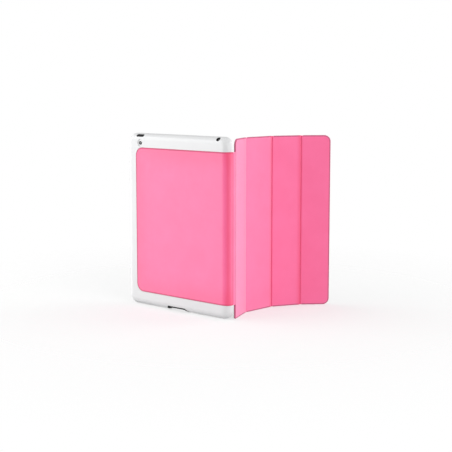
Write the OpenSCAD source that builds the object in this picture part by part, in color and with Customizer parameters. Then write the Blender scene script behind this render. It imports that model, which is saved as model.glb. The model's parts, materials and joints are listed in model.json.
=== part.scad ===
// Clip-on tablet shell with a folding four-section flip cover, standing open like a book.
// Millimetres. +Z is up and the case stands on z = 0. The shell lies in the XZ plane with its back
// to -Y, and the spine is on its +X side. The origin is the centre of the footprint.

/* [Shell] */
// width of the shell
shell_w = 191; // [180:0.5:205]
// height of the shell
shell_h = 246; // [230:0.5:260]
// depth of the shell from its back to its front rim
shell_t = 12.5; // [11:0.1:14]
// corner radius of the shell's outline
corner_r = 13; // [10.5:0.5:20]
// radius of the rounded shoulder between the back and the sides
shoulder_r = 9.5; // [8.5:0.1:10.2]
// thickness of the side walls
wall = 1.9; // [1.7:0.1:2.4]
// thickness of the flat back
floor_t = 1.8; // [1.7:0.1:2.4]
// how far the clip lip reaches in over the tablet's edge
lip = 0.6; // [0.3:0.1:1]
// height of the clip lip
lip_h = 1.2; // [0.8:0.1:1.6]

/* [Back panel] */
// gap between the shell's left edge and the inlaid panel
panel_side = 18.5; // [11:0.5:22]
// height of the panel's lower edge
panel_low = 19.5; // [16:0.5:26]
// height of the panel's upper edge
panel_high = 226.5; // [215:0.5:230]
// corner radius of the panel
panel_r = 12; // [5:0.5:14]
// depth of the recess that the panel is bonded into
recess = 0.8; // [0.5:0.1:0.9]
// thickness of the panel's skin
skin_t = 1; // [0.8:0.1:1.2]

/* [Openings] */
// distance of the headphone hole from the shell's spine-side edge
port_in = 18; // [15:0.5:26]
// distance of the power slot from the shell's left edge
power_in = 25.4; // [16:0.1:32]
// length of the power slot
power_l = 15; // [10:0.2:18]
// width of the power slot
power_w = 5; // [3:0.1:5.6]
// radius of the headphone hole
jack_r = 3.3; // [3:0.1:4.5]
// distance of the camera hole from the shell's left edge
camera_in = 27; // [18:0.5:32]
// height of the camera hole
camera_z = 232.6; // [230.5:0.1:236]
// radius of the camera hole
camera_r = 2.4; // [1.9:0.05:4]
// radius of the shallow well round the camera hole
camera_well_r = 5.2; // [4.5:0.1:7]
// width of the dock notch at its mouth
dock_w = 39; // [28:0.5:46]
// width of the dock notch at its top
dock_top_w = 28; // [22:0.5:40]
// height of the dock notch
dock_h = 3.3; // [2.4:0.1:4.2]
// thickness of the rubber liner round the dock notch
liner_t = 2.2; // [0.8:0.1:2.4]
// lower end of the volume slot
volume_low = 166; // [150:1:180]
// upper end of the volume slot
volume_high = 216; // [190:1:225]
// width of the volume slot
volume_w = 5; // [4:0.2:6]
// holes in each row of the speaker grille
grille_n = 14; // [6:1:16]
// spacing of the speaker holes
grille_step = 3; // [2:0.1:4]
// radius of a speaker hole
grille_r = 0.7; // [0.5:0.05:0.9]

/* [Spine] */
// gap between the spine strap and the recess it lies in
strap_gap = 0.3; // [0.3:0.05:0.6]
// thickness of the strap's soft inner face
strap_lining_t = 0.5; // [0.4:0.1:0.8]
// thickness of the strap's outer skin
strap_skin_t = 0.9; // [0.6:0.1:1.2]
// distance that a stiff edge stays back from the spine's front hinge line
spine_set = 2; // [1.8:0.1:3]

/* [Cover] */
// height of the cover
cover_h = 243.5; // [230:0.5:250]
// width of the section beside the spine, hinge line to fold line
width_1 = 47; // [40:0.5:60]
// width of the second section, fold line to fold line
width_2 = 54; // [40:0.5:60]
// width of the third section, fold line to fold line
width_3 = 45; // [40:0.5:60]
// width of the last section, fold line to free edge
width_4 = 42; // [36:0.5:60]
// distance that a section stays back from its fold line
fold_set = 2.4; // [2.2:0.1:3.5]
// distance that a section's outer face stays back from its fold line
fold_lip = 1.2; // [0.8:0.1:2.2]
// thickness of the cover's outer skin
outer_t = 0.8; // [0.6:0.1:1.2]
// thickness of the stiffener boards
board_t = 1.2; // [1:0.1:1.6]
// thickness of the soft inner lining
lining_t = 0.6; // [0.4:0.1:0.8]
// width of the turned-over skin round each board
edge_w = 1.8; // [1.2:0.1:3]
// corner radius at the free edge
free_r = 9; // [4:0.5:14]
// corner radius of a section beside a fold
fold_r = 3; // [1:0.5:6]
// corner radius at the top beside the spine
spine_top_r = 9; // [2:0.5:14]
// corner radius at the bottom beside the spine
spine_low_r = 2.5; // [1:0.5:6]
// thickness of the thin skin across a fold
web_t = 0.9; // [0.6:0.1:1.2]

/* [Stance] */
// direction of the section beside the spine, from +X towards +Y
turn_1 = 112; // [95:1:130]
// direction of the second section
turn_2 = 87.5; // [60:0.5:120]
// direction of the third section
turn_3 = 61.5; // [40:0.5:110]
// direction of the last section
turn_4 = 46; // [20:0.5:100]

/* [Fittings] */
// length of a closing magnet
magnet_l = 20; // [10:1:30]
// width of a closing magnet
magnet_w = 6; // [4:0.5:8]
// diameter of the wake magnet
wake_d = 8; // [6:0.5:10]
// width of the steel stand plate
plate_w = 12; // [8:0.5:16]
// length of the steel stand plate
plate_l = 190; // [120:1:210]
// thickness of the steel stand plate
plate_t = 0.5; // [0.3:0.1:0.8]

/* [Hidden] */
$fn = 96;

// how far a cutting solid runs past the face it cuts
over = 1;
half_w = shell_w / 2;
// centre of the rounded shoulder on the spine side, in plan
shoulder_x = half_w - shoulder_r;
shoulder_y = shoulder_r;
floor_r = shoulder_r - recess;
panel_out_r = floor_r + skin_t;
strap_in_r = floor_r + strap_gap;
strap_mid_r = strap_in_r + strap_lining_t;
strap_out_r = strap_mid_r + strap_skin_t;
// the spine's back hinge line runs along the middle of the shoulder, just outside the strap
back_hinge_r = strap_out_r + 0.3;
hinge_turn = 45;
back_hinge = [shoulder_x + back_hinge_r * cos(hinge_turn), shoulder_y - back_hinge_r * sin(hinge_turn)];
// how far the panel and the strap stay back from that hinge line, as an angle on the shoulder
hinge_gap = 8;
// the cover's thickness, and where its layers lie about its hinge plane
cover_t = outer_t + board_t + lining_t;
skin_low = -cover_t / 2;
board_low = skin_low + outer_t;
lining_low = board_low + board_t;
cover_gap = 0.3;
front_hinge = [shoulder_x + (strap_in_r + strap_out_r) / 2, shell_t + cover_gap + cover_t / 2];
strap_end = front_hinge[1] - spine_set;
fold_1 = front_hinge + width_1 * [cos(turn_1), sin(turn_1)];
fold_2 = fold_1 + width_2 * [cos(turn_2), sin(turn_2)];
fold_3 = fold_2 + width_3 * [cos(turn_3), sin(turn_3)];
free_end = fold_3 + width_4 * [cos(turn_4), sin(turn_4)];
// the footprint, whose centre is the origin
low_x = -half_w;
high_x = free_end[0] + cover_t / 2 * sin(turn_4);
low_y = -(skin_t - recess);
high_y = free_end[1] + (cover_t / 2 - lining_t) * cos(turn_4);
centre_x = (low_x + high_x) / 2;
centre_y = (low_y + high_y) / 2;
power_x = -half_w + power_in;
jack_x = half_w - port_in;
camera_x = -half_w + camera_in;
camera_well_d = 1.1;
camera_ring_t = 1.4;
camera_ring_low = 0.4;
camera_ring_high = floor_t;
jack_ring_t = 1.4;
// how far the grommet stands proud of the wall inside the shell
jack_ring_in = 0.8;
fit_gap = 0.05;
pad_gap = 0.3;
// the pad's flange sits in a shallow pocket inside the shoulder
flange_over = 0.7;
flange_t = 0.5;
pocket_d = 0.5;
grille_x = -half_w + 12;
grille_turns = [38, 52];
board_gap = 0.1;
lining_in = 0.6;
web_in = 0.3;
// how far a web stays back from the edges it runs between
web_gap = 0.1;
magnet_in = 5;
magnet_heights = [40, 121, 202];
wake_x = 32;
wake_z = 60;
plate_x = width_1 / 2;

module in_row() {
  translate([-centre_x, -centre_y, 0]) children();
}

// the frame of a cover section: +X runs along it from its hinge line, -Y is its outer face
module along(start, turn) {
  translate([start[0], start[1], 0]) rotate([0, 0, turn]) children();
}

// a flat shape drawn in X and Z, made solid from y = low to y = low + thick
module slab(low, thick) {
  translate([0, low + thick, 0]) rotate([90, 0, 0]) linear_extrude(thick) children();
}

// the waste outside a rounded corner whose sharp point is at p, with the shape on its side s
module corner_waste(p, s, r) {
  difference() {
    translate([p[0] - (s[0] > 0 ? over : r), p[1] - (s[1] > 0 ? over : r)]) square(r + over);
    translate([p[0] + s[0] * r, p[1] + s[1] * r]) circle(r);
  }
}

// a rectangle with its own radius at each corner
module sheet_2d(x0, x1, z0, z1, low_left, low_right, high_right, high_left) {
  difference() {
    translate([x0, z0]) square([x1 - x0, z1 - z0]);
    if (low_left > 0) corner_waste([x0, z0], [1, 1], low_left);
    if (low_right > 0) corner_waste([x1, z0], [-1, 1], low_right);
    if (high_right > 0) corner_waste([x1, z1], [-1, -1], high_right);
    if (high_left > 0) corner_waste([x0, z1], [1, -1], high_left);
  }
}

module stadium_2d(length, width) {
  square([length - width, width], center = true);
  for (side = [-1, 1]) translate([side * (length - width) / 2, 0]) circle(width / 2);
}

// the section through a shouldered edge: rs is the shoulder, rc the run-out to the flat middle
module edge_2d(rc, rs, t) {
  difference() {
    square([rc, t]);
    difference() {
      translate([rc - rs, -over]) square([rs + over, rs + over]);
      translate([rc - rs, rs]) circle(rs);
    }
  }
}

// a tray-shaped block with its back at y = 0: rounded corners in outline and a shoulder all round
module shouldered(w, h, t, rc, rs) {
  run_x = w - 2 * rc;
  run_z = h - 2 * rc;
  translate([-run_x / 2, 0, rc]) cube([run_x, t, run_z]);
  for (side = [0, 1]) mirror([side, 0, 0])
    translate([run_x / 2, 0, rc]) linear_extrude(run_z) edge_2d(rc, rs, t);
  for (side = [0, 1]) translate([0, 0, side * h]) mirror([0, 0, side])
    translate([-run_x / 2, 0, rc]) rotate([0, 90, 0]) linear_extrude(run_x) edge_2d(rc, rs, t);
  for (k = [0 : 3])
    translate([(k == 0 || k == 3) ? run_x / 2 : -run_x / 2, 0, k < 2 ? rc : h - rc])
      rotate([-90, 0, 0]) rotate([0, 0, k * 90]) rotate_extrude(angle = 90) edge_2d(rc, rs, t);
}

// a frame on the middle of the top or bottom shoulder, with +Z straight out of it
module on_shoulder(x, z, turn) {
  translate([x, shoulder_y, z]) rotate([turn, 0, 0]) children();
}

// the band of the spine-side shoulder between two radii, from angle a to angle b below +X
module arc_band_2d(r_in, r_out, a, b) {
  reach = 2 * r_out;
  translate([shoulder_x, shoulder_y]) difference() {
    circle(r_out);
    circle(r_in);
    polygon([[0, 0], [reach * cos(a), -reach * sin(a)], [reach, reach], [-reach, reach]]);
    polygon([[0, 0], [reach * cos(b), -reach * sin(b)], [-reach, -reach], [-reach, reach]]);
  }
}

// everything outside the recess floor on the spine side, in plan
module recess_2d() {
  difference() {
    translate([shoulder_x, -over]) square([shoulder_r + over, shell_t + 2 * over]);
    translate([shoulder_x, shoulder_y]) circle(floor_r);
    translate([shoulder_x - over, shoulder_y]) square([floor_r + over, shell_t]);
  }
}

// the plain tray: a back and four walls with a lip all round their rim
module tray() {
  inner_rs = shoulder_r - wall;
  inner_rc = corner_r - wall;
  difference() {
    shouldered(shell_w, shell_h, shell_t, corner_r, shoulder_r);
    translate([0, floor_t, wall])
      shouldered(shell_w - 2 * wall, shell_h - 2 * wall, shell_t - floor_t - lip_h, inner_rc, inner_rs);
    slab(shell_t - lip_h - over, lip_h + 2 * over)
      sheet_2d(-half_w + wall + lip, half_w - wall - lip, wall + lip, shell_h - wall - lip,
        inner_rc - lip, inner_rc - lip, inner_rc - lip, inner_rc - lip);
  }
}

// the dock notch, wider by more on every side
module dock_2d(more) {
  polygon([[-dock_w / 2 - more, -over], [dock_w / 2 + more, -over], [dock_w / 2 + more, 0],
    [dock_top_w / 2 + more, dock_h + more], [-dock_top_w / 2 - more, dock_h + more],
    [-dock_w / 2 - more, 0]]);
}

module rear_shell() {
  color([0.96, 0.96, 0.965]) in_row() difference() {
    tray();
    slab(-over, recess + over)
      sheet_2d(-half_w + panel_side, shoulder_x, panel_low, panel_high, panel_r, 0, 0, panel_r);
    translate([0, 0, panel_low]) linear_extrude(panel_high - panel_low) recess_2d();
    on_shoulder(power_x, shell_h - shoulder_r, 45) {
      translate([0, 0, shoulder_r - 2 * wall]) linear_extrude(3 * wall) stadium_2d(power_l, power_w);
      translate([0, 0, shoulder_r - 2 * wall]) linear_extrude(wall + pocket_d)
        stadium_2d(power_l + 2 * flange_over, power_w + 2 * flange_over);
    }
    on_shoulder(jack_x, shell_h - shoulder_r, 45)
      translate([0, 0, shoulder_r - 2 * wall]) cylinder(r = jack_r, h = 3 * wall);
    translate([camera_x, -over, camera_z]) rotate([-90, 0, 0]) cylinder(r = camera_r, h = floor_t + 2 * over);
    translate([camera_x, -over, camera_z]) rotate([-90, 0, 0])
      cylinder(r = camera_well_r, h = camera_well_d + over);
    for (i = [0 : grille_n - 1], turn = grille_turns)
      on_shoulder(grille_x + i * grille_step, shoulder_r, 180 - turn)
        translate([0, 0, shoulder_r - 2 * wall]) cylinder(r = grille_r, h = 3 * wall);
    slab(-over, shell_t + 2 * over) dock_2d(liner_t);
    translate([-half_w - over, shoulder_y - volume_w / 4, (volume_low + volume_high) / 2])
      rotate([90, 0, 90]) linear_extrude(2 * over + wall) rotate([0, 0, 90])
        stadium_2d(volume_high - volume_low, volume_w);
  }
}

module back_panel() {
  color([0.98, 0.36, 0.58]) in_row() {
    slab(recess - skin_t, skin_t)
      sheet_2d(-half_w + panel_side + fit_gap, shoulder_x, panel_low + fit_gap, panel_high - fit_gap,
        panel_r - fit_gap, 0, 0, panel_r - fit_gap);
    translate([0, 0, panel_low + fit_gap]) linear_extrude(panel_high - panel_low - 2 * fit_gap)
      arc_band_2d(floor_r, panel_out_r, hinge_turn + hinge_gap, 90);
  }
}

module dock_liner() {
  color([0.05, 0.05, 0.055]) in_row() intersection() {
    tray();
    slab(-over, shell_t + 2 * over) difference() {
      dock_2d(liner_t - fit_gap);
      dock_2d(0);
    }
  }
}

module camera_ring() {
  color([0.05, 0.05, 0.055]) in_row()
    translate([camera_x, camera_ring_low, camera_z]) rotate([-90, 0, 0]) difference() {
      cylinder(r = camera_r - fit_gap, h = camera_ring_high - camera_ring_low);
      translate([0, 0, -over]) cylinder(r = camera_r - camera_ring_t, h = camera_ring_high + over);
    }
}

module jack_grommet() {
  ring_low = shoulder_r - wall - jack_ring_in;
  ring_h = wall + jack_ring_in;
  color([0.05, 0.05, 0.055]) in_row() on_shoulder(jack_x, shell_h - shoulder_r, 45)
    translate([0, 0, ring_low]) difference() {
      cylinder(r = jack_r - fit_gap, h = ring_h);
      translate([0, 0, -over]) cylinder(r = jack_r - jack_ring_t, h = ring_h + 2 * over);
    }
}

module power_button_pad() {
  flange_low = shoulder_r - wall + pocket_d - flange_t - 0.1;
  color([0.06, 0.06, 0.065]) in_row() on_shoulder(power_x, shell_h - shoulder_r, 45) {
    translate([0, 0, flange_low]) linear_extrude(flange_t)
      stadium_2d(power_l + 2 * flange_over - 2 * pad_gap, power_w + 2 * flange_over - 2 * pad_gap);
    translate([0, 0, flange_low]) linear_extrude(shoulder_r - flange_low - 0.1)
      stadium_2d(power_l - 2 * pad_gap, power_w - 2 * pad_gap);
  }
}

// a thin bent strip in plan: from a, through the hinge line at b, to c
module web_2d(a, b, c, thick) {
  in = (b - a) / norm(b - a);
  out = (c - b) / norm(c - b);
  n_in = thick / 2 * [in[1], -in[0]];
  n_out = thick / 2 * [out[1], -out[0]];
  mean = (n_in + n_out) / 2;
  mitre = mean * (thick / 2) * (thick / 2) / (mean * mean);
  polygon([a + n_in, b + mitre, c + n_out, c - n_out, b - mitre, a - n_in]);
}

module spine_web_back() {
  mid_r = (panel_out_r + floor_r) / 2;
  strap_r = (strap_in_r + strap_out_r) / 2;
  c = [shoulder_x, shoulder_y];
  web_turn = hinge_gap - web_gap / mid_r * 180 / PI;
  a_turn = hinge_turn + web_turn;
  b_turn = hinge_turn - web_turn;
  start = c + mid_r * [cos(a_turn), -sin(a_turn)];
  middle = c + (mid_r + strap_r) / 2 * [cos(hinge_turn), -sin(hinge_turn)];
  end = c + strap_r * [cos(b_turn), -sin(b_turn)];
  color([0.93, 0.3, 0.52]) in_row() translate([0, 0, panel_low + web_in])
    linear_extrude(panel_high - panel_low - 2 * web_in) web_2d(start, middle, end, web_t - 0.2);
}

module strap_layer(r_in, r_out) {
  in_row() translate([0, 0, panel_low + strap_gap]) linear_extrude(panel_high - panel_low - 2 * strap_gap) {
    arc_band_2d(r_in, r_out, 0, hinge_turn - hinge_gap);
    translate([shoulder_x + r_in, shoulder_y]) square([r_out - r_in, strap_end - shoulder_y]);
  }
}

module spine_strap_skin() {
  color([0.98, 0.4, 0.62]) strap_layer(strap_mid_r, strap_out_r);
}

module spine_strap_lining() {
  color([0.86, 0.86, 0.88]) strap_layer(strap_in_r, strap_mid_r);
}

module spine_web_front() {
  start = [front_hinge[0], strap_end + web_gap];
  end = front_hinge + (spine_set - web_gap) * [cos(turn_1), sin(turn_1)];
  color([0.93, 0.3, 0.52]) in_row() translate([0, 0, panel_low + web_in])
    linear_extrude(panel_high - panel_low - 2 * web_in) web_2d(start, front_hinge, end, web_t);
}

// the outline of section k, drawn back from its edges by inset and from its fold lines by back
module section_2d(k, inset, back) {
  widths = [width_1, width_2, width_3, width_4];
  start = k == 1 ? spine_set : back;
  end = widths[k - 1] - (k == 4 ? 0 : back);
  low_left = max((k == 1 ? spine_low_r : fold_r) - inset, 0.5);
  high_left = max((k == 1 ? spine_top_r : fold_r) - inset, 0.5);
  right = max((k == 4 ? free_r : fold_r) - inset, 0.5);
  sheet_2d(start + inset, end - inset, inset, cover_h - inset, low_left, right, right, high_left);
}

// the outer skin with its edges turned over the board
module section_skin(k) {
  difference() {
    union() {
      slab(skin_low, outer_t) section_2d(k, 0, fold_lip);
      slab(skin_low, outer_t + board_t) section_2d(k, 0, fold_set);
    }
    slab(board_low, board_t + over) section_2d(k, edge_w, fold_set);
  }
}

module section_board(k) {
  slab(board_low, board_t) section_2d(k, edge_w + board_gap, fold_set);
}

module section_lining(k) {
  slab(lining_low, lining_t) section_2d(k, lining_in, fold_set);
}

module in_section_1() {
  in_row() along(front_hinge, turn_1) children();
}

module in_section_2() {
  in_row() along(fold_1, turn_2) children();
}

module in_section_3() {
  in_row() along(fold_2, turn_3) children();
}

module in_section_4() {
  in_row() along(fold_3, turn_4) children();
}

module cover_skin_1() {
  color([1, 0.5, 0.7]) in_section_1() section_skin(1);
}

module cover_board_1() {
  color([0.6, 0.58, 0.55]) in_section_1() difference() {
    section_board(1);
    slab(lining_low - plate_t - fit_gap, plate_t + over) plate_2d(fit_gap);
  }
}

module cover_lining_1() {
  color([0.86, 0.86, 0.88]) in_section_1() section_lining(1);
}

module plate_2d(more) {
  translate([plate_x - plate_w / 2 - more, (cover_h - plate_l) / 2 - more])
    square([plate_w + 2 * more, plate_l + 2 * more]);
}

module stand_plate() {
  color([0.7, 0.7, 0.72]) in_section_1() slab(lining_low - plate_t, plate_t) plate_2d(0);
}

module fold_web(a_turn, at, b_turn) {
  start = at - (fold_set - web_gap) * [cos(a_turn), sin(a_turn)];
  end = at + (fold_set - web_gap) * [cos(b_turn), sin(b_turn)];
  in_row() translate([0, 0, web_in]) linear_extrude(cover_h - 2 * web_in) web_2d(start, at, end, web_t);
}

module fold_web_1() {
  color([0.93, 0.3, 0.52]) fold_web(turn_1, fold_1, turn_2);
}

module cover_skin_2() {
  color([0.98, 0.42, 0.64]) in_section_2() section_skin(2);
}

module cover_board_2() {
  color([0.6, 0.58, 0.55]) in_section_2() section_board(2);
}

module cover_lining_2() {
  color([0.86, 0.86, 0.88]) in_section_2() section_lining(2);
}

module fold_web_2() {
  color([0.93, 0.3, 0.52]) fold_web(turn_2, fold_2, turn_3);
}

module cover_skin_3() {
  color([0.98, 0.38, 0.6]) in_section_3() section_skin(3);
}

module cover_board_3() {
  color([0.6, 0.58, 0.55]) in_section_3() section_board(3);
}

module cover_lining_3() {
  color([0.86, 0.86, 0.88]) in_section_3() section_lining(3);
}

module fold_web_3() {
  color([0.93, 0.3, 0.52]) fold_web(turn_3, fold_3, turn_4);
}

module cover_skin_4() {
  color([0.98, 0.34, 0.56]) in_section_4() section_skin(4);
}

module magnets_2d(more) {
  right = width_4 - magnet_in;
  for (z = magnet_heights)
    translate([right - magnet_w - more, z - magnet_l / 2 - more])
      square([magnet_w + 2 * more, magnet_l + 2 * more]);
}

module cover_board_4() {
  color([0.6, 0.58, 0.55]) in_section_4() difference() {
    section_board(4);
    slab(board_low - over, board_t + 2 * over) magnets_2d(fit_gap);
    slab(board_low - over, board_t + 2 * over) translate([wake_x, wake_z]) circle(wake_d / 2 + fit_gap);
  }
}

module cover_lining_4() {
  color([0.86, 0.86, 0.88]) in_section_4() section_lining(4);
}

module closing_magnets() {
  color([0.72, 0.72, 0.74]) in_section_4() slab(board_low, board_t - fit_gap) magnets_2d(0);
}

module wake_magnet() {
  color([0.72, 0.72, 0.74]) in_section_4()
    slab(board_low, board_t - fit_gap) translate([wake_x, wake_z]) circle(wake_d / 2);
}

rear_shell();
back_panel();
dock_liner();
camera_ring();
jack_grommet();
power_button_pad();
spine_web_back();
spine_strap_skin();
spine_strap_lining();
spine_web_front();
cover_skin_1();
cover_board_1();
cover_lining_1();
stand_plate();
fold_web_1();
cover_skin_2();
cover_board_2();
cover_lining_2();
fold_web_2();
cover_skin_3();
cover_board_3();
cover_lining_3();
fold_web_3();
cover_skin_4();
cover_board_4();
cover_lining_4();
closing_magnets();
wake_magnet();
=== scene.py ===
"""The looks of a clip-on tablet shell with a folding cover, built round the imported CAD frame."""

import json
import math

import bmesh
import bpy
from mathutils import Matrix, Vector
from mathutils.geometry import interpolate_bezier


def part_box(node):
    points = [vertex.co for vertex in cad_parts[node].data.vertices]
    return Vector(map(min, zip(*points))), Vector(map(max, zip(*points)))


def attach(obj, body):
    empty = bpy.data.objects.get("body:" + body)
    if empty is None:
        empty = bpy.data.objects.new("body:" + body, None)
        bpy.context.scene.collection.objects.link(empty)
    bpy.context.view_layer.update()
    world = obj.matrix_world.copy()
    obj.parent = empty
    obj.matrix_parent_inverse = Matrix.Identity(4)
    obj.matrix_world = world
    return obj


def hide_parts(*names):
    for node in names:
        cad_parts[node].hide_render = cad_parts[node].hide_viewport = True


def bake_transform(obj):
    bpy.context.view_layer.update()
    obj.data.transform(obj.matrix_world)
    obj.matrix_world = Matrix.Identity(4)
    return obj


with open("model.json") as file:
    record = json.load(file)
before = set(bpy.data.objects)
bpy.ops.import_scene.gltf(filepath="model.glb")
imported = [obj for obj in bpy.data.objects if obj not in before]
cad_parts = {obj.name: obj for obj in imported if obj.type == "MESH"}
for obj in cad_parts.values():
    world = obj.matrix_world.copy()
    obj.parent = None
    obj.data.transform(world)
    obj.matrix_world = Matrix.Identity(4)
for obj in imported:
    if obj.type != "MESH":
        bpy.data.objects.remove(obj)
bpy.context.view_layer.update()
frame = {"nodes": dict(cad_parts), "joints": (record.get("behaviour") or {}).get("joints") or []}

MM = 0.001

# ---------------------------------------------------------------- camera
CAMERA_AT = (1.04581, -1.19116, 0.32587)
CAMERA_TURN = 41.411
CAMERA_RISE = 7.659
CAMERA_LENS = 88.65

# ---------------------------------------------------------------- sizes, in mm, as in the CAD source
SHELL_W, SHELL_H, WALL = 191.0, 246.0, 1.9
SHOULDER_R = 9.5
SHOULDER_X = SHELL_W / 2 - SHOULDER_R
ARC = SHOULDER_R * math.pi / 2
# the panel's outline in its recess, and its faces as heights proud of the shell's back
PANEL_SIDE, PANEL_LOW, PANEL_HIGH, PANEL_R = 18.5, 19.5, 226.5, 12.0
PANEL_GAP, PANEL_OUT, PANEL_IN = 0.2, 0.2, -0.8
# the strap's faces as heights proud of the shoulder, and how far through the case's thickness it reaches
STRAP_OUT, STRAP_MID, STRAP_END = 0.9, 0.0, 12.1
# the foot and the top of the skin from the strap to the cover
STRAP_LOW, STRAP_TOP = PANEL_LOW + 0.3, PANEL_HIGH - 0.3
# the spine's hinge, in degrees round the shoulder
HINGE_TURN = 45.0
# the cover's sections: widths along the cover, and turns from +X towards +Y
COVER_H = 243.5
WIDTHS = (47.0, 54.0, 45.0, 42.0)
TURNS = (112.0, 87.5, 61.5, 46.0)
# how far the sections keep from the spine's line and from a fold's line
SPINE_SET, FOLD_SET = 2.0, 2.4
# heights of a section's layers proud of its middle plane, and the skin's width round the board
SKIN_OUT, BOARD_OUT, BOARD_IN, LINING_IN = 1.3, 0.5, -0.7, -1.3
SKIN_RIM = 1.8
# corner radii at the free edge, beside a fold, and beside the spine
FREE_R, FOLD_R, SPINE_LOW_R, SPINE_TOP_R = 9.0, 3.0, 2.5, 9.0
WEB_T = 0.9
# the openings: distance in from the shell's side, then radius and wall, or length, width and gap
JACK_IN, JACK_R, JACK_T = 18.0, 3.3, 1.4
JACK_LOW, JACK_HIGH = 6.8, SHOULDER_R
LENS_IN, LENS_Z, LENS_R, LENS_T = 27.0, 232.6, 2.4, 1.4
LENS_SUNK, LENS_L = 0.4, 1.4
FIT_GAP = 0.05
POWER_IN, POWER_L, POWER_W, POWER_GAP = 25.4, 15.0, 5.0, 0.3

# ---------------------------------------------------------------- details that only the visual model has
# how far a section's outer skin keeps from a fold's line, where the CAD's lip keeps more
FOLD_LIP = 0.6
# the valley in the skin over the spine hinge
VALLEY_HALF, VALLEY_DEPTH = 2.2, 0.35
# width of the edge material, a darker pink that paints the shade on the rounded edge, measured in from the
# outline
EDGE_LINE = 1.8
# roundings of the panel's, the sections' and the lining's edges
PANEL_ROUND, SKIN_ROUND, LINING_ROUND = 0.8, 0.75, 0.35
# for each section: how far the next fold pulls the skin down, and the strength and width of the painted shade
# beside it
FOLD_PULLS = ((0.0, 0.3, 16.0), (0.42, 0.55, 7.0), (0.42, 0.6, 7.5), (0.0, 0.0, 1.0))
PULL_REACH = 8.0

shell_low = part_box("rear_shell")[0]
# the row frame's position of the shell's own origin
ORIGIN = Vector((shell_low.x + SHELL_W / 2 * MM, shell_low.y, 0.0))
JOINTS = {j["name"]: j for j in frame["joints"]}
FRONT = Vector(JOINTS["cover_swing"]["pos_m"])
FOLDS = [Vector(JOINTS[f"fold_{k}"]["pos_m"]) for k in (1, 2, 3)]
STARTS = [FRONT] + FOLDS


def at(x, y, z):
    """A point given in the shell's own frame in mm, in the row frame in metres."""
    return ORIGIN + Vector((x, y, z)) * MM


def direction(turn):
    """The level direction at this turn from +X towards +Y."""
    return Vector((math.cos(math.radians(turn)), math.sin(math.radians(turn)), 0.0))


# ---------------------------------------------------------------- materials
def shader(name, colour, roughness, **sockets):
    """A new node material and its principled shader, with constant sockets set on the shader itself."""
    made = bpy.data.materials.new(name)
    made.use_nodes = True
    bsdf = made.node_tree.nodes["Principled BSDF"]
    bsdf.inputs["Base Color"].default_value = (*colour, 1)
    bsdf.inputs["Roughness"].default_value = roughness
    for socket, value in sockets.items():
        bsdf.inputs[socket.replace("_", " ")].default_value = value
    return made, bsdf


def add(made, kind, **values):
    """A new shader node, with values for its sockets or its own settings."""
    node = made.node_tree.nodes.new(kind)
    for key, value in values.items():
        if key in node.inputs:
            node.inputs[key].default_value = value
        else:
            setattr(node, key, value)
    return node


def link(made, source, target):
    made.node_tree.links.new(source, target)


def coords(made):
    """Places in metres on the object."""
    return add(made, "ShaderNodeTexCoord").outputs["Object"]


def noise(made, where, scale, detail=3.0, roughness=0.5):
    node = add(made, "ShaderNodeTexNoise", Scale=scale, Detail=detail, Roughness=roughness)
    link(made, where, node.inputs["Vector"])
    return node.outputs["Fac"]


def ramp(made, value, low, high, out_low, out_high):
    """Carries the span low to high onto out_low to out_high, clamped."""
    node = add(made, "ShaderNodeMapRange")
    for socket, number in zip(("From Min", "From Max", "To Min", "To Max"), (low, high, out_low, out_high)):
        node.inputs[socket].default_value = number
    link(made, value, node.inputs["Value"])
    return node.outputs["Result"]


def mix(made, factor, first, second):
    """A colour between first and second."""
    node = add(made, "ShaderNodeMix", data_type="RGBA")
    link(made, factor, node.inputs["Factor"])
    node.inputs[6].default_value = (*first, 1)
    node.inputs[7].default_value = (*second, 1)
    return node.outputs[2]


def bump(made, bsdf, height, strength, distance, before=None):
    """Relief on the shader, over the relief in before."""
    node = add(made, "ShaderNodeBump", Strength=strength, Distance=distance)
    link(made, height, node.inputs["Height"])
    if before is not None:
        link(made, before, node.inputs["Normal"])
    link(made, node.outputs["Normal"], bsdf.inputs["Normal"])
    return node.outputs["Normal"]


def leather(name, light, deep, painted_shade, roughness=0.5, grain=0.35, sheen=1.0):
    """Soft-touch coated skin: a fine pebbled grain over slow changes of tone, with painted shade mixed in per
    point.
    """
    made, bsdf = shader(name, light, roughness, Sheen_Weight=sheen, Sheen_Roughness=0.52,
                        Sheen_Tint=(1.0, 0.8, 1.0, 1.0), Specular_IOR_Level=0.5)
    where = coords(made)
    tone = ramp(made, noise(made, where, 38.0, 4.0), 0.35, 0.65, 0.0, 1.0)
    skin = add(made, "ShaderNodeMix", data_type="RGBA")
    # a per-point attribute mixes in the painted shade colour
    shade_share = add(made, "ShaderNodeAttribute", attribute_name="painted_shade")
    link(made, shade_share.outputs["Fac"], skin.inputs["Factor"])
    link(made, mix(made, tone, light, deep), skin.inputs[6])
    skin.inputs[7].default_value = (*painted_shade, 1)
    link(made, skin.outputs[2], bsdf.inputs["Base Color"])
    gloss = noise(made, where, 260.0, 5.0)
    link(made, ramp(made, gloss, 0.3, 0.7, roughness - 0.05, roughness + 0.06), bsdf.inputs["Roughness"])
    cells = add(made, "ShaderNodeTexVoronoi", feature="SMOOTH_F1", Scale=1500.0, Smoothness=0.6)
    link(made, where, cells.inputs["Vector"])
    first = bump(made, bsdf, cells.outputs["Distance"], grain, 0.0001)
    bump(made, bsdf, noise(made, where, 420.0, 4.0), 0.12, 0.0002, first)
    return made


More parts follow.
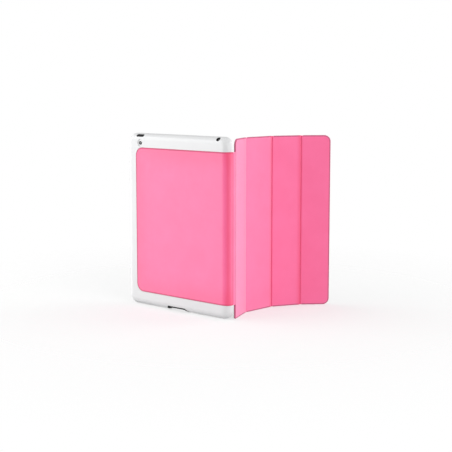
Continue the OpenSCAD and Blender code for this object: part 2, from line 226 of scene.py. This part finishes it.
def moulded(name, light, deep, roughness, **sockets):
    """Moulded plastic: a faint orange-peel and slow changes of gloss."""
    made, bsdf = shader(name, light, roughness, **sockets)
    where = coords(made)
    tone = ramp(made, noise(made, where, 30.0, 3.0), 0.35, 0.65, 0.0, 1.0)
    link(made, mix(made, tone, light, deep), bsdf.inputs["Base Color"])
    link(made, ramp(made, noise(made, where, 60.0, 1.0), 0.3, 0.7, roughness - 0.02, roughness + 0.03),
         bsdf.inputs["Roughness"])
    bump(made, bsdf, noise(made, where, 260.0, 0.0), 0.03, 0.0001)
    return made


def microfibre(name, light, deep):
    """Brushed microfibre: matt, with a nap that lies in short streaks."""
    made, bsdf = shader(name, light, 0.95, Sheen_Weight=0.6, Sheen_Roughness=0.5, Specular_IOR_Level=0.2)
    where = coords(made)
    stretch = add(made, "ShaderNodeMapping")
    stretch.inputs["Scale"].default_value = (1.0, 1.0, 0.25)
    link(made, where, stretch.inputs["Vector"])
    streaks = noise(made, stretch.outputs["Vector"], 900.0, 5.0, 0.65)
    patches = noise(made, where, 45.0, 3.0)
    tone = add(made, "ShaderNodeMath", operation="MULTIPLY_ADD")
    link(made, streaks, tone.inputs[0])
    tone.inputs[1].default_value = 0.6
    link(made, ramp(made, patches, 0.3, 0.7, 0.0, 0.4), tone.inputs[2])
    link(made, mix(made, tone.outputs[0], light, deep), bsdf.inputs["Base Color"])
    bump(made, bsdf, streaks, 0.4, 0.0002)
    return made


def fibreboard(name, light, deep):
    """Pressed board with matted fibres."""
    made, bsdf = shader(name, light, 0.85, Specular_IOR_Level=0.25)
    where = coords(made)
    fibres = noise(made, where, 700.0, 6.0, 0.7)
    link(made, mix(made, fibres, light, deep), bsdf.inputs["Base Color"])
    bump(made, bsdf, fibres, 0.3, 0.0002)
    return made


def metal(name, colour, roughness, streak):
    """Metal with fine marks drawn out along its length."""
    made, bsdf = shader(name, colour, roughness, Metallic=1.0)
    where = coords(made)
    stretch = add(made, "ShaderNodeMapping")
    stretch.inputs["Scale"].default_value = (1.0, 1.0, streak)
    link(made, where, stretch.inputs["Vector"])
    marks = noise(made, stretch.outputs["Vector"], 1600.0, 4.0)
    link(made, ramp(made, marks, 0.3, 0.7, roughness - 0.08, roughness + 0.1), bsdf.inputs["Roughness"])
    bump(made, bsdf, marks, 0.08, 0.0001)
    return made


# painted shade: the deep pink mixed in where the skin's shade attribute is high, in the hinge valley, beside
# the folds and towards the panel's border
PAINTED_SHADE_PINK = (0.9, 0.055, 0.165)
PINK = leather("pink_skin", (0.985, 0.144, 0.347), (0.97, 0.132, 0.325), PAINTED_SHADE_PINK)
# the rounded edges' material: a darker pink that paints the shade falling on the rounded edge, with less
# sheen
PINK_EDGE_PAINTED_SHADE = leather("pink_edge_painted_shade", (0.6, 0.11, 0.22), (0.55, 0.1, 0.2), PAINTED_SHADE_PINK, 0.7, 0.5, 0.2)
# the sunk creases' material: a darker pink that paints the shade in the groove
CREASE_PAINTED_SHADE = leather("pink_crease_painted_shade", (0.9, 0.07, 0.21), (0.86, 0.065, 0.195), PAINTED_SHADE_PINK, 0.6, 0.5, 0.3)
SHELL = moulded("white_shell", (0.74, 0.745, 0.75), (0.73, 0.735, 0.742), 0.32, Coat_Weight=0.15,
                Coat_Roughness=0.15)
LINING = microfibre("grey_microfibre", (0.66, 0.66, 0.68), (0.56, 0.56, 0.585))
BLACK = moulded("black_rubber", (0.008, 0.008, 0.009), (0.014, 0.014, 0.015), 0.7,
                Specular_IOR_Level=0.2)
BOARD = fibreboard("stiffener_board", (0.5, 0.47, 0.42), (0.4, 0.37, 0.33))
STEEL = metal("stand_steel", (0.56, 0.57, 0.58), 0.34, 0.04)
MAGNET = metal("magnet_nickel", (0.66, 0.65, 0.62), 0.22, 1.0)


# ---------------------------------------------------------------- mesh tools
def corner(cx, cy, r, start, steps=10):
    """Points of a quarter circle, turning anticlockwise from the angle start."""
    turns = [math.radians(start + 90.0 * i / steps) for i in range(steps + 1)]
    return [(cx + r * math.cos(t), cy + r * math.sin(t)) for t in turns]


def rounded_rect(x0, x1, z0, z1, radii):
    """An anticlockwise outline with its own radius at low-left, low-right, high-right and high-left."""
    a, b, c, d = radii
    return (corner(x0 + a, z0 + a, a, 180) + corner(x1 - b, z0 + b, b, 270)
            + corner(x1 - c, z1 - c, c, 0) + corner(x0 + d, z1 - d, d, 90))


def bevel_rim(bm, height, radius, steps):
    """Rounds every edge of the outline that lies at this height."""
    rim = [e for e in bm.edges if all(abs(v.co.y - height) < 1e-6 for v in e.verts)]
    bmesh.ops.bevel(bm, geom=rim, offset=radius, offset_type="OFFSET", segments=steps, profile=0.5,
                    affect="EDGES", clamp_overlap=False)


def slab(outline, low, high, edge_low, edge_high, steps=5):
    """A solid sheet over an outline in (along, up), from y = low to y = high, with rounded edges."""
    bm = bmesh.new()
    face = bm.faces.new([bm.verts.new((x, low, z)) for x, z in outline])
    top = bmesh.ops.extrude_face_region(bm, geom=[face])
    bmesh.ops.translate(bm, vec=(0, high - low, 0),
                        verts=[g for g in top["geom"] if isinstance(g, bmesh.types.BMVert)])
    bmesh.ops.recalc_face_normals(bm, faces=bm.faces)
    if edge_high:
        bevel_rim(bm, high, edge_high, steps)
    if edge_low:
        bevel_rim(bm, low, edge_low, steps)
    return bm


def rounding(height, edge, insets, up, steps=5):
    """Rows of a rounded edge that ends level at height: (height, left, right, ends), widest first."""
    rows = []
    for i in range(steps + 1):
        t = math.pi / 2 * i / steps
        drop, more = edge * (1 - math.sin(t)), edge * (1 - math.cos(t))
        rows.append((height - up * drop, *(inset + more for inset in insets)))
    return rows


def loft(box, radii, rows, flat=()):
    """A closed sheet whose outline, a rounded rectangle, is drawn in by a different amount at each row.

    Its sides take the second material. flat gives further insets of the last row, which keep the first.
    """
    height, *insets = rows[-1]
    rows = rows + [(height, *(inset + more for inset in insets)) for more in flat]
    sides = len(rows) - 1 - len(flat)
    x0, x1, z0, z1 = box
    bm = bmesh.new()
    rings = []
    for height, left, right, ends in rows:
        fitted = [max(r - (side + ends) / 2, 0.2) for r, side in zip(radii, (left, right, right, left))]
        outline = rounded_rect(x0 + left, x1 - right, z0 + ends, z1 - ends, fitted)
        rings.append([bm.verts.new((x, height, z)) for x, z in outline])
    for level, (lower, upper) in enumerate(zip(rings, rings[1:])):
        for i in range(len(lower)):
            j = (i + 1) % len(lower)
            bm.faces.new((lower[i], lower[j], upper[j], upper[i])).material_index = int(level < sides)
    bm.faces.new(rings[0])
    bm.faces.new(rings[-1])
    bmesh.ops.recalc_face_normals(bm, faces=bm.faces)
    return bm


def cut(bm, axis, places):
    """Adds an edge loop in each of these planes, so that the sheet can bend there."""
    normal = {"x": (1, 0, 0), "z": (0, 0, 1)}[axis]
    for place in places:
        bmesh.ops.bisect_plane(bm, geom=bm.verts[:] + bm.edges[:] + bm.faces[:], dist=1e-5,
                               plane_co=Vector(normal) * place, plane_no=normal)


def steps_between(low, high, step):
    """Even steps from low to high, as near to step as fits."""
    count = max(1, round((high - low) / step))
    return [low + (high - low) * i / count for i in range(count + 1)]


def finish_mesh(name, bm, place, material, sharp=40.0, painted_shade=None, edge=None):
    """The object made from bm, whose points place() carries from mm to the row frame.

    An optional shade function says how much painted shade the skin takes at a point, from 0 to 1. edge is the
    second material.
    """
    if painted_shade:
        layer = bm.verts.layers.float.new("painted_shade")
        for v in bm.verts:
            v[layer] = painted_shade(v.co)
    for v in bm.verts:
        v.co = place(v.co)
    bmesh.ops.recalc_face_normals(bm, faces=bm.faces)
    mesh = bpy.data.meshes.new(name)
    bm.to_mesh(mesh)
    bm.free()
    mesh.polygons.foreach_set("use_smooth", [True] * len(mesh.polygons))
    mesh.set_sharp_from_angle(angle=math.radians(sharp))
    mesh.materials.append(material)
    mesh.materials.append(edge or material)
    made = bpy.data.objects.new(name, mesh)
    bpy.context.scene.collection.objects.link(made)
    weighted = made.modifiers.new("even_normals", "WEIGHTED_NORMAL")
    weighted.keep_sharp = True
    weighted.weight = 60
    return made


# ---------------------------------------------------------------- back panel and spine strap, one skin
def smooth(value):
    """0 below 0, 1 above 1, and an even slope between."""
    value = min(1.0, max(0.0, value))
    return value * value * (3 - 2 * value)


def round_shoulder(s, h, z):
    """A point s mm along the back from the shell's middle and h mm proud of it, carried round the spine."""
    if s <= SHOULDER_X:
        return at(s, -h, z)
    if s < SHOULDER_X + ARC:
        turn = (s - SHOULDER_X) / SHOULDER_R
        reach = SHOULDER_R + h
        return at(SHOULDER_X + reach * math.sin(turn), SHOULDER_R - reach * math.cos(turn), z)
    return at(SHOULDER_X + SHOULDER_R + h, SHOULDER_R + s - SHOULDER_X - ARC, z)


def swell(x, middle, half):
    """A soft hump that is 1 at middle."""
    return math.exp(-(((x - middle) / half) ** 2))


def back_and_spine():
    """The panel in its recess and the strap round the spine, as one skin that bends over the shoulder."""
    left = -SHELL_W / 2 + PANEL_SIDE + PANEL_GAP
    right = SHOULDER_X + ARC + STRAP_END - SHOULDER_R
    low_z, high_z = PANEL_LOW + PANEL_GAP, PANEL_HIGH - PANEL_GAP
    strap_r, chamfer = 1.6, 0.1
    rows = [(PANEL_IN, chamfer, chamfer, chamfer), (PANEL_IN + chamfer, 0, 0, 0)]
    rows += rounding(PANEL_OUT, PANEL_ROUND, (0, 0, 0), 1)
    rows.append((PANEL_OUT, EDGE_LINE, EDGE_LINE, EDGE_LINE))
    bm = loft((left, right, low_z, high_z), (PANEL_R, strap_r, strap_r, PANEL_R), rows, flat=(0.4, 3, 7, 12))
    hinge = SHOULDER_X + ARC * HINGE_TURN / 90
    wide, fine, finest = 12, 0.6, 0.2
    cut(bm, "x", steps_between(left + wide, SHOULDER_X - wide / 2, wide)
        + steps_between(SHOULDER_X - 1.2, hinge - 2.4, fine) + steps_between(hinge - 2.2, hinge + 2.2, finest)
        + steps_between(hinge + 2.6, right - 0.8, fine))
    cut(bm, "z", steps_between(PANEL_LOW + wide, PANEL_HIGH - wide, wide))
    # the skin rises from the recess over this part of the shoulder, in degrees round it
    rise_from, rise_over = 33.0, 24.0
    strap_gap = 0.02

    def place(co):
        turn = (co.x - SHOULDER_X) / SHOULDER_R
        lift = smooth((math.degrees(turn) - rise_from) / rise_over)
        share = (co.y - PANEL_IN) / (PANEL_OUT - PANEL_IN)
        low = PANEL_IN + lift * (STRAP_MID - PANEL_IN + strap_gap)
        high = PANEL_OUT + lift * (STRAP_OUT - PANEL_OUT) - VALLEY_DEPTH * swell(co.x, hinge, VALLEY_HALF)
        return round_shoulder(co.x, low + share * (high - low), co.z)

    def painted_shade(co):
        """Painted shade: deepest over the hinge valley and beside it, and, far less, towards the panel's
        border.
        """
        from_border = min(co.x - left, co.z - low_z, high_z - co.z)
        over_hinge = 0.32 * swell(co.x, hinge + 1.2, 2.6) + 0.4 * swell(co.x, hinge + 4.5, 6.5)
        return min(0.8, over_hinge + 0.36 * (1 - smooth(from_border / 34.0)))

    made = finish_mesh("back_panel_and_spine_skin", bm, place, PINK, painted_shade=painted_shade, edge=PINK_EDGE_PAINTED_SHADE)
    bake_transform(made)
    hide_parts("back_panel", "spine_web_back", "spine_strap_skin")


# ---------------------------------------------------------------- cover sections
def in_section(k):
    """Carries (along, proud, up) in section k's own frame, in mm, to the row frame."""
    start, along = STARTS[k], direction(TURNS[k])
    out = Vector((along.y, -along.x, 0.0))

    def place(co):
        return Vector((start.x, start.y, 0)) + (along * co.x + out * co.y + Vector((0, 0, co.z))) * MM

    return place


def section_box(k, back):
    """A section's outline, set back from its folds: start, end, foot and top."""
    start = SPINE_SET if k == 0 else back
    end = WIDTHS[k] - (0.0 if k == 3 else back)
    return start, end, 0.0, COVER_H


def section_radii(k, near_fold=FOLD_R):
    """Corner radii at low-left, low-right, high-right and high-left."""
    right = FREE_R if k == 3 else near_fold
    return (SPINE_LOW_R if k == 0 else FOLD_R, right, right, SPINE_TOP_R if k == 0 else FOLD_R)


def cover_skin(k):
    """A section's outer skin, turned over its board, softer at the edge that the next fold pulls on."""
    box = section_box(k, FOLD_LIP)
    start, end = box[:2]
    step = FOLD_SET - FOLD_LIP
    left, right = (0 if k == 0 else step), (0 if k == 3 else step)

    def drawn_in(inset):
        return left + inset, right + inset, inset

    def lip(inset):
        return min(inset, left), min(inset, right), 0

    rows = [(BOARD_OUT, *drawn_in(SKIN_RIM)), (BOARD_IN, *drawn_in(SKIN_RIM))]
    rows += rounding(BOARD_IN, 0.3, drawn_in(0), -1, 3)[::-1]
    rows += [(BOARD_OUT - 0.02, *drawn_in(0)), (BOARD_OUT, *lip(0.3)), (BOARD_OUT + 0.12, *lip(0.08))]
    rows += rounding(SKIN_OUT, SKIN_ROUND, (0, 0, 0), 1)
    rows.append((SKIN_OUT, EDGE_LINE, EDGE_LINE, EDGE_LINE))
    bm = loft(box, section_radii(k, near_fold=0.9), rows, flat=(0.3,))
    # the skin runs on over a fold, so the edge material's painted shade stops short of it
    for face in bm.faces:
        middle = face.calc_center_median().x
        if (k > 0 and middle < start + EDGE_LINE) or (k < 3 and middle > end - EDGE_LINE):
            face.material_index = 0
    near_start = 2.5
    near_end = [end - d for d in (0.9, 1.4, 2.0, 2.8, 3.8, 5.0, 6.4, 8.0, 10.0, 13.0)]
    cut(bm, "x", [start + near_start] + steps_between(start + 5, end - 16, 4.5) + (near_end if k < 3 else []))
    cut(bm, "z", [6.0] + steps_between(14, COVER_H - 14, 12) + [COVER_H - 6.0])
    place = in_section(k)
    # tone is how strong the painted shade beside the next fold is
    drop, tone, reach = FOLD_PULLS[k]

    def shaped(co):
        proud = co.y
        if proud > BOARD_OUT + 0.05 and k < 3:
            share = (proud - BOARD_OUT) / (SKIN_OUT - BOARD_OUT)
            proud -= share * drop * (1 - smooth((end - co.x) / PULL_REACH))
        return place(Vector((co.x, proud, co.z)))

    def painted_shade(co):
        """Painted shade beside the next fold, which pulls the skin down, and along the near side of this one.
        """
        near = 0.0 if k < 2 else 0.35 * (1 - smooth((co.x - start) / near_start))
        far = tone * (1 - smooth((end - co.x) / reach))
        return max(near, far)

    made = finish_mesh(f"cover_skin_{k + 1}_turned_edge", bm, shaped, PINK, painted_shade=painted_shade, edge=PINK_EDGE_PAINTED_SHADE)
    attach(made, f"section_{k + 1}")
    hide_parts(f"cover_skin_{k + 1}")


def cover_lining(k):
    """A section's lining, inside its skin's rim."""
    box = section_box(k, FOLD_SET)
    start, end = box[:2]
    inset = (0.6, 0.6, 0.6)
    rows = [(BOARD_IN - 0.01, *inset)] + rounding(LINING_IN, LINING_ROUND, inset, -1)
    bm = loft(box, section_radii(k), rows)
    cut(bm, "x", steps_between(start + 5, end - 5, 9))
    cut(bm, "z", steps_between(10, COVER_H - 10, 16))
    made = finish_mesh(f"cover_lining_{k + 1}_microfibre", bm, in_section(k), LINING)
    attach(made, f"section_{k + 1}")
    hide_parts(f"cover_lining_{k + 1}")


# ---------------------------------------------------------------- folds
def ribbon(name, path, low, high, material, edge=0.2, up_step=24.0):
    """A closed strip: path holds pairs of plan points, one on each face, in mm from the row's origin."""
    bm = bmesh.new()
    levels = [low + edge * 0.3, low + edge] + steps_between(low + 4, high - 4, up_step)
    levels += [high - edge, high - edge * 0.3]
    rows = []
    for i, z in enumerate(levels):
        end = i in (0, len(levels) - 1)
        row = []
        for a, b in path:
            middle = (a + b) / 2
            shrink = 0.7 if end else 1.0
            row.append([bm.verts.new((*(middle + (p - middle) * shrink), z)) for p in (a, b)])
        rows.append(row)
    count = len(path)
    for lower, upper in zip(rows, rows[1:]):
        for i in range(count - 1):
            for side in (0, 1):
                bm.faces.new((lower[i][side], lower[i + 1][side], upper[i + 1][side], upper[i][side]))
        for i in (0, count - 1):
            bm.faces.new((lower[i][0], lower[i][1], upper[i][1], upper[i][0]))
    for row in (rows[0], rows[-1]):
        for i in range(count - 1):
            bm.faces.new((row[i][0], row[i + 1][0], row[i + 1][1], row[i][1]))
    return finish_mesh(name, bm, lambda co: co * MM, material)


def plan(point):
    """A point's place seen from above, in mm."""
    return Vector((point.x, point.y)) / MM


def bent(centre, a_turn, b_turn, low, high, reach):
    """Plan points of a strip that bends at centre, with its faces low and high mm proud of the middle."""
    path = []
    for d in steps_between(-reach, reach, 0.25):
        share = smooth((d / FOLD_SET + 1) / 2)
        turn = a_turn + (b_turn - a_turn) * share
        spot = centre + Vector(direction(a_turn if d < 0 else b_turn)[:2]) * d
        out = Vector((math.sin(math.radians(turn)), -math.cos(math.radians(turn))))
        path.append((spot + out * low(d), spot + out * high(d)))
    return path


def fold(k):
    """The groove between section k and the next: outer skin, darker on folds 2 and 3 to paint the shade, and
    inner lining.
    """
    centre = plan(FOLDS[k - 1])
    turns = TURNS[k - 1], TURNS[k]
    reach, end_gap = FOLD_SET + 1.2, 0.3
    level = SKIN_OUT - 0.03 if k == 1 else WEB_T / 2

    def top(d):
        """Fold 1 is level with both skins; the others lie sunk between them."""
        return WEB_T / 2 + (level - WEB_T / 2) * (1 - smooth((abs(d) - 1.6) / 1.2))

    def under(d):
        return -WEB_T / 2 - 0.1 * smooth(abs(d) / FOLD_SET)

    outer = ribbon(f"fold_{k}_pressed_skin", bent(centre, *turns, lambda d: 0.02, top, reach),
                   end_gap, COVER_H - end_gap, PINK if k == 1 else CREASE_PAINTED_SHADE)
    inner = ribbon(f"fold_{k}_lining", bent(centre, *turns, under, lambda d: 0.0, reach),
                   end_gap, COVER_H - end_gap, LINING)
    tangent = (direction(turns[0]) + direction(turns[1])).normalized() * FOLD_SET * MM
    for made in (outer, inner):
        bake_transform(made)
    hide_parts(f"fold_web_{k}")


def front_web():
    """The skin from the strap's end to the cover, level with both."""
    origin = plan(ORIGIN)
    strap_x = origin.x + SHOULDER_X + SHOULDER_R
    end_y = origin.y + STRAP_END
    centre = plan(FRONT)
    along = Vector(direction(TURNS[0])[:2])
    out = Vector((along.y, -along.x))
    a_out, a_in = Vector((strap_x + STRAP_OUT - 0.06, end_y)), Vector((strap_x - 0.35, end_y))
    b_out = centre + along * SPINE_SET + out * (SKIN_OUT - 0.1)
    b_in = centre + along * SPINE_SET + out * (BOARD_IN + 0.15)
    up = Vector((0, 1))

    def curve(p, q):
        """A smooth curve that leaves p upwards and reaches q along the section."""
        pull = (q - p).length / 3
        return interpolate_bezier(p, p + up * pull, q - along * pull, q, 25)

    # both ends run on a little inside their neighbours
    sunk = 0.25
    path = [(a_in - up, a_out - up - Vector((sunk, 0)))]
    path += list(zip(curve(a_in, b_in), curve(a_out, b_out)))
    path.append((b_in + along * 1.2, b_out + along * 1.2 - out * sunk))
    made = ribbon("spine_to_cover_skin", path, STRAP_LOW, STRAP_TOP, PINK)
    tangent = (Vector((0, 1, 0)) + direction(TURNS[0])).normalized() * 2.6 * MM
    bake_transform(made)
    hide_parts("spine_web_front")


# ---------------------------------------------------------------- fittings in the shell
def on_shoulder(x):
    """A frame on the middle of the top shoulder: local +Z points straight out of it, in mm."""
    place = Matrix.Translation(at(x, SHOULDER_R, SHELL_H - SHOULDER_R))
    return place @ Matrix.Rotation(math.radians(45), 4, "X") @ Matrix.Scale(MM, 4)


def turned_ring(name, profile, matrix, material, steps=64):
    """A closed ring turned from a profile of (radius, height) points."""
    bm = bmesh.new()
    rings = []
    for i in range(steps):
        t = 2 * math.pi * i / steps
        rings.append([bm.verts.new((r * math.cos(t), r * math.sin(t), h)) for r, h in profile])
    for i in range(steps):
        a, b = rings[i], rings[(i + 1) % steps]
        for j in range(len(profile)):
            k = (j + 1) % len(profile)
            bm.faces.new((a[j], b[j], b[k], a[k]))
    return finish_mesh(name, bm, lambda co: matrix @ co, material, sharp=50.0)


def rounded_ring(r_in, r_out, low, high, edge):
    """The profile of a ring with all four edges rounded."""
    points = []
    for cx, cy, start in ((r_in + edge, low + edge, 180), (r_out - edge, low + edge, 270),
                          (r_out - edge, high - edge, 0), (r_in + edge, high - edge, 90)):
        points += corner(cx, cy, edge, start, 4)
    return points


def fittings():
    """The headphone hole's grommet and the camera hole's ring."""
    profile = rounded_ring(JACK_R - JACK_T, JACK_R - FIT_GAP, JACK_LOW, JACK_HIGH, 0.25)
    jack = turned_ring("jack_grommet_rounded", profile, on_shoulder(SHELL_W / 2 - JACK_IN), BLACK)
    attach(jack, "shell")
    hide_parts("jack_grommet")
    lens = Matrix.Translation(at(-SHELL_W / 2 + LENS_IN, LENS_SUNK, LENS_Z))
    facing = lens @ Matrix.Rotation(math.radians(-90), 4, "X") @ Matrix.Scale(MM, 4)
    profile = rounded_ring(LENS_R - LENS_T, LENS_R - FIT_GAP, 0, LENS_L, 0.2)
    ring = turned_ring("camera_ring_rounded", profile, facing, BLACK)
    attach(ring, "shell")
    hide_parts("camera_ring")


def power_pad():
    """The pad in the power slot and the flange that keeps it in."""

    def stadium(more):
        run, r = (POWER_L - POWER_W) / 2, POWER_W / 2 - POWER_GAP + more
        ends = ((run, -90), (run, 0), (-run, 90), (-run, 180))
        return [point for x, start in ends for point in corner(x, 0, r, start, 12)]

    sunk, flange_t, flange_over = 0.1, 0.5, 0.7
    low = SHOULDER_R - WALL - sunk
    cap = slab(stadium(0), low, SHOULDER_R - sunk, 0, 0.5)
    flange = slab(stadium(flange_over), low, low + flange_t, 0.1, 0.1)
    joined = bpy.data.meshes.new("flange")
    flange.to_mesh(joined)
    flange.free()
    cap.from_mesh(joined)
    bpy.data.meshes.remove(joined)
    matrix = on_shoulder(-SHELL_W / 2 + POWER_IN)

    def place(co):
        return matrix @ Vector((co.x, -co.z, co.y))

    made = finish_mesh("power_button_pad_rounded", cap, place, BLACK)
    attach(made, "power_button")
    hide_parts("power_button_pad")


def dress_cad_nodes():
    """Gives each CAD node that stays its finish."""
    finishes = {"rear_shell": SHELL, "dock_liner": BLACK, "spine_strap_lining": LINING, "stand_plate": STEEL,
                "closing_magnets": MAGNET, "wake_magnet": MAGNET}
    finishes.update({f"cover_board_{k}": BOARD for k in (1, 2, 3, 4)})
    for name, material in finishes.items():
        for spot in frame["nodes"][name].material_slots:
            spot.material = material


# ---------------------------------------------------------------- stage
EXPOSURE = 0.0
# the floor thins out from FLOOR_FADE to FLOOR_REACH metres from the middle
FLOOR_FADE, FLOOR_REACH = 0.16, 0.6
# how much of the white behind it the floor hides in the middle
FLOOR_COVER = 0.5
AMBIENT = 0.47
# name, turn and rise in degrees, distance, width and height in metres, power in watts
LIGHTS = [
    ("left_softbox", -42, 15, 1.6, 1.4, 1.6, 17.2),
    ("far_left_softbox", -80, 10, 1.6, 1.2, 1.6, 10.5),
    ("front_softbox", 41, 30, 2.0, 1.0, 1.0, 1.0),
    ("right_softbox", 75, 12, 1.6, 1.0, 1.6, 11.0),
    ("rear_softbox", 145, 12, 1.6, 1.2, 1.6, 15.0),
    ("overhead_softbox", 41, 88, 1.6, 1.6, 1.6, 3.0),
]


def outward(turn, rise):
    """The direction from the object at this turn from -Y towards +X and this rise above level."""
    a, e = math.radians(turn), math.radians(rise)
    return Vector((math.sin(a) * math.cos(e), -math.cos(a) * math.cos(e), math.sin(e)))


def area_light(name, turn, rise, distance, width, height, power, target=(0.0, 0.0, 0.12)):
    """A soft light that stands this way from the object and faces it."""
    back = outward(turn, rise)
    data = bpy.data.lights.new(name, "AREA")
    data.shape, data.size, data.size_y, data.energy = "RECTANGLE", width, height, power
    lamp = bpy.data.objects.new(name, data)
    lamp.visible_camera = False
    lamp.location = Vector(target) + back * distance
    lamp.rotation_mode = "QUATERNION"
    lamp.rotation_quaternion = (-back).to_track_quat("-Z", "Y")
    bpy.context.scene.collection.objects.link(lamp)


def stage():
    """A pale floor that thins out, a white backdrop, even ambient light and the soft lights."""
    scene = bpy.context.scene
    mesh = bpy.data.meshes.new("floor")
    corners = 96
    ring = [direction(360.0 * i / corners) * FLOOR_REACH for i in range(corners)]
    mesh.from_pydata(ring, [], [list(range(corners))])
    floor = bpy.data.objects.new("floor", mesh)
    made, bsdf = shader("pale_floor", (0.9, 0.9, 0.9), 0.9, Specular_IOR_Level=0.1)
    away = add(made, "ShaderNodeVectorMath", operation="LENGTH")
    link(made, coords(made), away.inputs[0])
    cover = ramp(made, away.outputs["Value"], FLOOR_FADE, FLOOR_REACH, FLOOR_COVER, 0.0)
    link(made, cover, bsdf.inputs["Alpha"])
    mesh.materials.append(made)
    scene.collection.objects.link(floor)
    world = bpy.data.worlds.new("studio")
    world.use_nodes = True
    nodes, links = world.node_tree.nodes, world.node_tree.links
    ambient = nodes["Background"]
    ambient.inputs["Color"].default_value = (1, 1, 1, 1)
    ambient.inputs["Strength"].default_value = AMBIENT
    backdrop = nodes.new("ShaderNodeBackground")
    backdrop.inputs["Color"].default_value = (1, 1, 1, 1)
    seen = nodes.new("ShaderNodeLightPath")
    chosen = nodes.new("ShaderNodeMixShader")
    links.new(seen.outputs["Is Camera Ray"], chosen.inputs["Fac"])
    links.new(ambient.outputs["Background"], chosen.inputs[1])
    links.new(backdrop.outputs["Background"], chosen.inputs[2])
    links.new(chosen.outputs["Shader"], nodes["World Output"].inputs["Surface"])
    scene.world = world
    scene.view_settings.view_transform = "Standard"
    scene.view_settings.look = "None"
    scene.view_settings.exposure = EXPOSURE
    for light in LIGHTS:
        area_light(*light)


def camera():
    """The photograph's camera."""
    data = bpy.data.cameras.new("camera")
    data.lens, data.sensor_width = CAMERA_LENS, 36.0
    data.clip_start, data.clip_end = 0.05, 100.0
    eye = bpy.data.objects.new("camera", data)
    eye.location = CAMERA_AT
    eye.rotation_mode = "QUATERNION"
    eye.rotation_quaternion = (-outward(CAMERA_TURN, CAMERA_RISE)).to_track_quat("-Z", "Y")
    bpy.context.scene.collection.objects.link(eye)
    bpy.context.scene.camera = eye


camera()
stage()
dress_cad_nodes()
back_and_spine()
for section in range(4):
    cover_skin(section)
    cover_lining(section)
for crease in (1, 2, 3):
    fold(crease)
front_web()
fittings()
power_pad()

bpy.context.view_layer.update()
